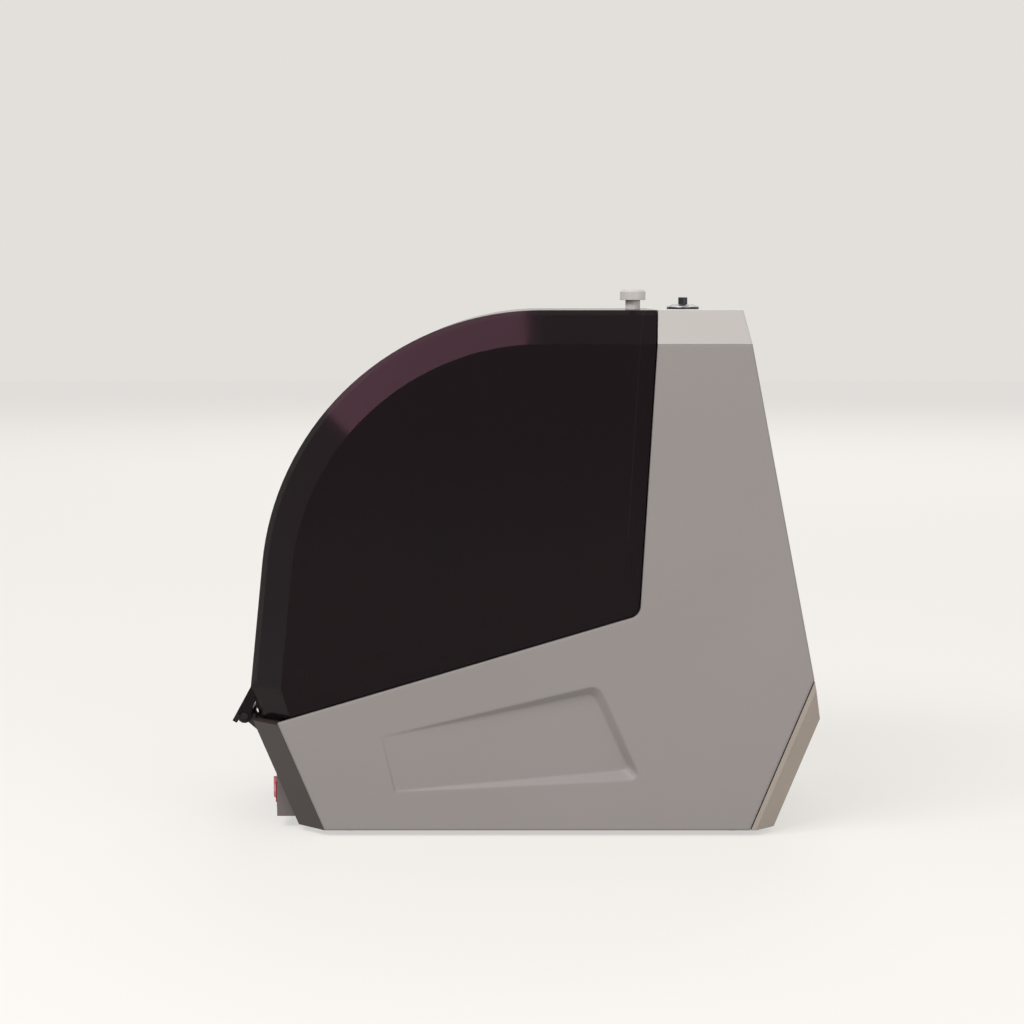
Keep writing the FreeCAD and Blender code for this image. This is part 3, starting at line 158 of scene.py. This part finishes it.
# %% Inside plastics, rubber and metals
FINISHES.update({
    # Dull plastics: an even dark grey that keeps its shape only by shading.
    "tub_grey": moulded("heatproof_tub", "#3A3638", "#322F31", 0.55),
    "inlet_black": moulded("nylon_inlet", "#1D1D1F", "#18181A", 0.5),
    "fan_black": moulded("glass_filled_fan", "#202022", "#1A1A1C", 0.5),
    "wheel_black": moulded("nylon_wheel", "#222224", "#1C1C1E", 0.45),
    "module_grey": moulded("component_grey", "#4A4A4E", "#3E3E42", 0.5),
    # Acetal and fluoropolymer: waxy, with a soft highlight.
    "outlet_black": moulded("acetal_outlet", "#1A1A1C", "#151517", 0.28, bump=0.02),
    "tube_white": moulded("fluoropolymer_tube", "#E8E8E4", "#DEDEDA", 0.3, bump=0.02),
    "bush_white": moulded("acetal_white", "#E2E0DA", "#D8D6D0", 0.4, bump=0.03),
    # Rubber and silicone: almost no highlight, with a dusty grain.
    "foot_rubber": moulded("rubber_foot", "#1C1B1B", "#181717", 0.8, grain_mm=0.6),
    "seal_rubber": moulded("silicone_seal", "#2A282E", "#232127", 0.65),
    # Solder mask: glossy green with faint mottling from the copper below it.
    "board_green": moulded("solder_mask", "#1F5A38", "#1A4E30", 0.35, drift_mm=6),
    # Metals: a coloured mirror, blurred by tool marks.
    "pin_brass": moulded("nickelled_brass", "#C8B273", "#BFA968", 0.3, metal=1.0, bump=0.02),
    "heater_alloy": moulded("extruded_aluminium", "#B9BBBE", "#ADAFB3", 0.4, metal=1.0, bump=0.04),
    "steel": moulded("turned_steel", "#B4B6B8", "#A9ABAE", 0.28, metal=1.0, bump=0.02),
})
print("finishes so far:", len(FINISHES))


# %% [markdown]
# ## Smoked lid and display glass
# The lid is polycarbonate tinted almost black with a plum cast, so the chamber shows only faintly through it.
# A fixed alpha lets some light pass and survives the export. The display is glass printed black behind. A
# hard coat that cuts glare keeps both darker than bare plastic would be, so their specular level is low.

# %% Smoked and glass finishes
def see_through(name, base, shade, roughness, alpha, gloss):
    material = moulded(name, base, shade, roughness, grain_mm=2.5, bump=0.004, drift_mm=120, gloss=gloss)
    shader = material.node_tree.nodes["Principled BSDF"]
    shader.inputs["Alpha"].default_value = alpha
    shader.inputs["IOR"].default_value = 1.5
    return material


FINISHES["lid_smoke"] = see_through("smoked_polycarbonate", "#170A10", "#13080D", 0.12, 0.9, gloss=0.14)
FINISHES["lens_black"] = see_through("display_glass", "#0B0B0D", "#080809", 0.08, 0.95, gloss=0.2)
print("all finishes:", len(FINISHES))

# %% [markdown]
# ## Dressing the model
# The record says which slot each part of the model takes, so one loop gives every part its finish. The
# hinge's pin is steel like the shafts, but its ends show beside the dark lid, so it is blackened.

# %% Dress every part of the model
# Blackened steel: a dark grey mirror, blurred by the oxide.
blackened = moulded("blackened_steel", "#343436", "#2C2C2E", 0.4, metal=1.0, bump=0.02)
slots = {entry["node"]: entry["material_slot"] for entry in frame["record"]["subparts"]}
for node, part in frame["nodes"].items():
    part.data.materials.clear()
    part.data.materials.append(blackened if node == "hinge_pin" else FINISHES[slots[node]])
print("parts dressed:", len(slots))


# %% [markdown]
# ## Trim that repeats
# The rings of the outlet and the ribs of the roller tyres are one small shape set out by a rule, which is
# what Geometry Nodes do well. They could be modelled one by one, but a tree keeps count and pitch as named
# inputs. Each tree ends in Realize Instances and Set Material, and its result is kept as a plain mesh.

# %% From a tree to a plain mesh
def new_tree(name, inputs):
    tree = bpy.data.node_groups.new(name, "GeometryNodeTree")
    tree.interface.new_socket("Geometry", in_out="OUTPUT", socket_type="NodeSocketGeometry")
    for label, value in inputs.items():
        kind = "NodeSocketInt" if isinstance(value, int) else "NodeSocketFloat"
        tree.interface.new_socket(label, in_out="INPUT", socket_type=kind).default_value = value
    return tree, add_node(tree, "NodeGroupInput").outputs


def end_tree(tree, geometry, material):
    solid = add_node(tree, "GeometryNodeRealizeInstances", None, Geometry=geometry)
    finish = add_node(tree, "GeometryNodeSetMaterial", {"Material": material},
                      Geometry=solid.outputs["Geometry"])
    add_node(tree, "NodeGroupOutput", None, Geometry=finish.outputs["Geometry"])
    return tree


def face_outwards(mesh):
    shell = bmesh.new()
    shell.from_mesh(mesh)
    bmesh.ops.recalc_face_normals(shell, faces=shell.faces)
    shell.to_mesh(mesh)
    shell.free()


def keep_piece(name, mesh, place, body):
    """Move a mesh to its place on the object and let it ride on a body."""
    mesh.transform(place)
    face_outwards(mesh)
    mesh.name = name
    piece = bpy.data.objects.new(name, mesh)
    bpy.context.scene.collection.objects.link(piece)
    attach(piece, body)
    print(name, "faces:", len(mesh.polygons))


def grow(tree, values):
    """Run a tree on an empty mesh and return its result as a plain mesh."""
    carrier = bpy.data.objects.new("carrier", bpy.data.meshes.new("carrier"))
    bpy.context.scene.collection.objects.link(carrier)
    modifier = carrier.modifiers.new("made", "NODES")
    modifier.node_group = tree
    for item in tree.interface.items_tree:
        if item.in_out == "INPUT" and item.name in values:
            modifier[item.identifier] = values[item.name]
    depsgraph = bpy.context.evaluated_depsgraph_get()
    mesh = bpy.data.meshes.new_from_object(carrier.evaluated_get(depsgraph))
    carrier.modifiers.remove(modifier)
    bpy.data.objects.remove(carrier)
    return mesh


# %% [markdown]
# ## Rings on the filament outlet
# The outlet is a push-in fitting with bright metal rings where its collar is rolled over. A ring is a small
# circle swept along a larger one, so a tree with two curves makes it.

# %% A swept ring
def sweep_ring(tree, given):
    path = add_node(tree, "GeometryNodeCurvePrimitiveCircle", {"Resolution": 64}, Radius=given["Ring radius"])
    wire = add_node(tree, "GeometryNodeCurvePrimitiveCircle", {"Resolution": 10}, Radius=given["Wire radius"])
    return add_node(tree, "GeometryNodeCurveToMesh", None, Curve=path.outputs["Curve"],
                    Profile_Curve=wire.outputs["Curve"]).outputs["Mesh"]


def swept_ring(material):
    tree, given = new_tree("swept_ring", {"Ring radius": 0.0077, "Wire radius": 0.00045})
    return end_tree(tree, sweep_ring(tree, given), material)


COLLAR_RISE, NIPPLE_DROP = 0.0011, 0.0004  # a ring's middle above the cap, and below the outlet's top
outlet_low, outlet_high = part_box("outlet_fitting")
outlet = (outlet_low + outlet_high) / 2
cap_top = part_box("tower_cap")[1].z
ring_tree = swept_ring(FINISHES["steel"])
for name, ring, wire, height in (("outlet_collar_ring", 0.0079, 0.00045, cap_top + COLLAR_RISE),
                                 ("outlet_nipple_ring", 0.0021, 0.0003, outlet_high.z - NIPPLE_DROP)):
    keep_piece(name, grow(ring_tree, {"Ring radius": ring, "Wire radius": wire}),
               Matrix.Translation((outlet.x, outlet.y, height)), "housing")


# %% [markdown]
# ## Ribs on the roller tyres
# What is dried turns on four rubber tyres, two on each roller, and low ribs round them give it grip. The
# tree makes a row of rings for one tyre and sets that row out twice along the shaft.

# %% Rows of rings
def tyre_rows(material):
    tree, given = new_tree("tyre_rows", {"Ring radius": 0.0078, "Wire radius": 0.0005, "Rings": 7,
                                         "Ring pitch": 0.003, "Tyres": 2, "Tyre pitch": 0.06})
    geometry = sweep_ring(tree, given)
    for count, pitch in (("Rings", "Ring pitch"), ("Tyres", "Tyre pitch")):
        step = add_node(tree, "ShaderNodeCombineXYZ", None, Z=given[pitch])
        line = add_node(tree, "GeometryNodeMeshLine", None, Count=given[count], Offset=step.outputs["Vector"])
        row = add_node(tree, "GeometryNodeInstanceOnPoints", None, Points=line.outputs["Mesh"],
                       Instance=geometry)
        geometry = add_node(tree, "GeometryNodeRealizeInstances", None,
                            Geometry=row.outputs["Instances"]).outputs["Geometry"]
    return end_tree(tree, geometry, material)


FIRST_RING = 0.003  # from the tyre's end to its first ring, in metres
RING_SINK = 0.0002  # how far a ring's middle lies below the tyre's surface
tyre_tree = tyre_rows(FINISHES["seal_rubber"])
for roller in ("front_roller", "rear_roller"):
    low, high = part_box(roller + "_tyres")
    axle = (low + high) / 2
    along_shaft = Matrix.Rotation(math.radians(-90), 4, "X")
    keep_piece(roller + "_ribs", grow(tyre_tree, {"Ring radius": (high.z - low.z) / 2 - RING_SINK}),
               Matrix.Translation((axle.x, low.y + FIRST_RING, axle.z)) @ along_shaft, roller)


# %% [markdown]
# ## Digits on the display
# The display shows lit seven-bar digits. Each bar is a thin block, listed by its place in the digit, and
# plain mesh code sets them out in rows. They lie on the slanted glass, so that its tint doesn't dim them.

# %% Lit bars
BAR_PLACES = {"a": (0, 2, 0), "b": (1, 1.5, 1), "c": (1, 0.5, 1), "d": (0, 0, 0), "e": (-1, 0.5, 1),
              "f": (-1, 1.5, 1), "g": (0, 1, 0)}
SIGNS = {"0": "abcdef", "1": "bc", "5": "afgcd", "8": "abcdefg", "o": "abfg", "C": "adef", "H": "bcefg"}
REACH = 0.0072  # the length of one bar with its gap, in metres
PITCH = 1.7  # from one sign to the next, in bars
BAR_THICK, BAR_LONG = 0.12, 0.40  # half sizes of a bar, in bars
SKIN = (0.00005, 0.00025)  # a block's back and face, out from the surface, in metres

# A lit bar is a milky diffuser over a lamp: pale, faintly clouded and only a little brighter than paper.
lit = moulded("milky_diffuser", "#DCE8EE", "#C3D6E0", 0.4, drift_mm=4, bump=0.0, edge_mm=0.0)
glow = lit.node_tree.nodes["Principled BSDF"]
glow.inputs["Emission Color"].default_value = linear("#CFE6F2")
glow.inputs["Emission Strength"].default_value = 0.6


def blocks(name, rows, material):
    """Thin blocks, each given by its middle and half size across and up, with Y out of the surface."""
    corners, faces = [], []
    for middle, half in rows:
        first = len(corners)
        for depth in SKIN:
            for dx, dz in ((-1, -1), (1, -1), (1, 1), (-1, 1)):
                corners.append((middle[0] + dx * half[0], depth, middle[1] + dz * half[1]))
        faces += [tuple(first + i for i in face) for face in
                  ((0, 3, 2, 1), (4, 5, 6, 7), (0, 1, 5, 4), (1, 2, 6, 5), (2, 3, 7, 6), (3, 0, 4, 7))]
    mesh = bpy.data.meshes.new(name)
    mesh.from_pydata(corners, [], faces)
    mesh.materials.append(material)
    return mesh


def sign_bars(text, left, low, scale):
    """Bars of a row of signs, from its first sign's middle and its lower edge."""
    for place, sign in enumerate(text):
        for bar in SIGNS[sign]:
            across, up, upright = BAR_PLACES[bar]
            half = (BAR_THICK, BAR_LONG) if upright else (BAR_LONG, BAR_THICK)
            size = scale * REACH
            middle = (left + size * (place * PITCH + across / 2), low + size * up)
            yield middle, (size * half[0], size * half[1])


# %% [markdown]
# ## Placing the digits
# The front leans back as it rises, so the digits are made upright and flat, then turned by the same lean.

# %% Digits on the glass
FRONT_RUN, FRONT_RISE = 0.0396, 0.2023  # the slope of the front, in metres
# Each row has its text, the middle of its first sign, its lower edge and its scale.
ROWS = (("50", -0.036, 0.018, 1.6), ("oC", -0.002, 0.031, 0.7), ("18", 0.020, 0.018, 1.0),
        ("H", 0.041, 0.018, 0.6))
lens_low, lens_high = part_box("display_lens")
lean = math.atan2(FRONT_RUN, FRONT_RISE)
bars = [bar for row in ROWS for bar in sign_bars(*row)]
# Across the glass runs along +Y, and out of the glass along +X.
swap = Matrix(((0, 1, 0), (1, 0, 0), (0, 0, 1))).to_4x4()
on_glass = Matrix.Translation((lens_high.x, 0, lens_low.z)) @ Matrix.Rotation(-lean, 4, "Y") @ swap
keep_piece("display_digits", blocks("display_digits", bars, lit), on_glass, "housing")

# %% [markdown]
# ## Marks on the power rocker
# A mains rocker carries a bar for on and a ring for off. They are printed on its two sloping faces, so each
# mark is made flat and turned to its face. The rocker tilts, so the marks ride on it.

# %% Bar and ring
ROCKER_PIVOT = Vector((-0.1221, -0.052, 0.017))
ROCKER_TILT = math.radians(10)
FACE_OUT, FACE_ACROSS = 0.0049, 0.0035  # a face's middle, out from the pivot and to one side of it
FACE_DIP, FACE_LENGTH = 0.0012, 0.007
FACE_SLOPE = math.atan2(FACE_DIP, FACE_LENGTH)
ON_BAR = ((0, 0), (0.0003, 0.0017))  # the bar's middle on its face, and its half sizes
print_white = moulded("pad_printed_white", "#E9E4E2", "#E2DDDB", 0.5, edge_mm=0.0)


def on_face(side):
    out = Vector((-math.cos(FACE_SLOPE), -side * math.sin(FACE_SLOPE), 0))
    across = out.cross(Vector((0, 0, 1)))
    turn = Matrix((across, out, (0, 0, 1))).transposed().to_4x4()
    middle = Matrix.Translation((-FACE_OUT, side * FACE_ACROSS, 0))
    return Matrix.Translation(ROCKER_PIVOT) @ Matrix.Rotation(ROCKER_TILT, 4, "Z") @ middle @ turn


keep_piece("rocker_on_bar", blocks("rocker_on_bar", [ON_BAR], print_white),
           on_face(1), "rocker")
off_ring = grow(swept_ring(print_white), {"Ring radius": 0.0016, "Wire radius": 0.00025})
keep_piece("rocker_off_ring", off_ring, on_face(-1) @ Matrix.Rotation(math.radians(90), 4, "X"),
           "rocker")


# %% [markdown]
# ## Studio
# A plain pale floor and a soft world show the box about as its colours are written. Rays that reach the eye,
# also by way of metal and glass, see both paler than they light the box, and the floor keeps the shadow.

# %% Floor and world
BACKDROP = "#E6E3DF"


def seen_by_eye(tree):
    rays = add_node(tree, "ShaderNodeLightPath").outputs
    seen = rays["Is Camera Ray"]
    for kind in ("Is Glossy Ray", "Is Transmission Ray"):
        either = add_node(tree, "ShaderNodeMath", {"operation": "MAXIMUM"})
        tree.links.new(seen, either.inputs[0])
        tree.links.new(rays[kind], either.inputs[1])
        seen = either.outputs["Value"]
    return seen


def lift(tree, socket, lighting, seen):
    level = add_node(tree, "ShaderNodeMapRange", {"To Min": lighting, "To Max": seen},
                     Value=seen_by_eye(tree))
    tree.links.new(level.outputs["Result"], socket)


FLOOR_HALF = 6.0  # half of the floor's side, in metres
floor_mesh = bpy.data.meshes.new("studio_floor")
corners = [(x * FLOOR_HALF, y * FLOOR_HALF, 0) for x, y in ((-1, -1), (1, -1), (1, 1), (-1, 1))]
floor_mesh.from_pydata(corners, [], [(0, 1, 2, 3)])
floor = bpy.data.objects.new("studio_floor", floor_mesh)
bpy.context.scene.collection.objects.link(floor)
paper = moulded("pale_paper_floor", "#A3A19E", "#A19F9C", 0.85, drift_mm=900, bump=0.0, edge_mm=0.0,
                gloss=0.0)
paper_shader = paper.node_tree.nodes["Principled BSDF"]
paper_shader.inputs["Emission Color"].default_value = linear("#F2F0ED")
lift(paper.node_tree, paper_shader.inputs["Emission Strength"], lighting=0.25, seen=0.64)
floor_mesh.materials.append(paper)

world = bpy.data.worlds.new("soft_studio")
world.use_nodes = True
backdrop = world.node_tree.nodes["Background"].inputs
backdrop["Color"].default_value = linear(BACKDROP)
lift(world.node_tree, backdrop["Strength"], lighting=0.62, seen=0.97)
bpy.context.scene.world = world
print("floor and world are set")


# %% [markdown]
# ## Lamps
# Three large lamps light the box. The lid's bevel shows a plum band where it mirrors a long strip above it,
# and such a strip would tint everything else, so diffuse light doesn't come from that one.

# %% Lamps
def lamp(name, place, target, size, power, tint="#FFFFFF", gloss_only=False):
    light = bpy.data.lights.new(name, "AREA")
    light.shape = "RECTANGLE"
    light.size, light.size_y = size
    light.energy = power
    light.color = linear(tint)[:3]
    holder = bpy.data.objects.new(name, light)
    holder.location = place
    holder.rotation_euler = (Vector(target) - Vector(place)).to_track_quat("-Z", "Y").to_euler()
    holder.visible_diffuse = not gloss_only
    bpy.context.scene.collection.objects.link(holder)


lamp("long_key", (-0.9, -1.1, 1.5), (0, 0, 0.15), (1.4, 0.7), 22)
lamp("front_fill", (1.2, -1.6, 0.8), (0, 0, 0.12), (1.2, 1.0), 9)
lamp("back_fill", (0.4, 3.0, 2.4), (0, 0, 0.12), (2.0, 1.5), 34)
lamp("lid_band", (-0.82, -0.05, 1.6), (-0.1, -0.05, 0.225), (0.3, 1.64), 5.4, "#FFABCD", gloss_only=True)
bpy.context.scene.view_settings.view_transform = "Standard"
print("lamps:", len(bpy.data.lights))

# %% [markdown]
# ## Camera
# A long lens at a low height looks square on the box's side, so that its edges stay straight. The distance
# follows from how much of the frame the box should fill.

# %% Camera
FRAME_PIXELS = 1024
BOX_PIXELS = 599  # the box's length in the frame
SHIFT_ACROSS, SHIFT_UP = -13, 54  # in pixels
AIM_SHARE = 0.46  # the height aimed at, over the box's length
camera = bpy.data.cameras.new("side_view")
camera.lens = 85
camera.sensor_width = 36
camera.clip_end = 30
box_length = cad_box[1][0] - cad_box[0][0]
distance = camera.lens / camera.sensor_width * FRAME_PIXELS * box_length / BOX_PIXELS
rise = math.radians(6.5)
aim = Vector((0, cad_box[0][1], box_length * AIM_SHARE))
eye = bpy.data.objects.new("side_view", camera)
eye.location = aim + Vector((0, -math.cos(rise), math.sin(rise))) * distance
eye.rotation_euler = (aim - eye.location).to_track_quat("-Z", "Y").to_euler()
camera.shift_x = SHIFT_ACROSS / FRAME_PIXELS
camera.shift_y = SHIFT_UP / FRAME_PIXELS
bpy.context.scene.collection.objects.link(eye)
bpy.context.scene.camera = eye
print("camera distance in metres:", round(distance, 3))
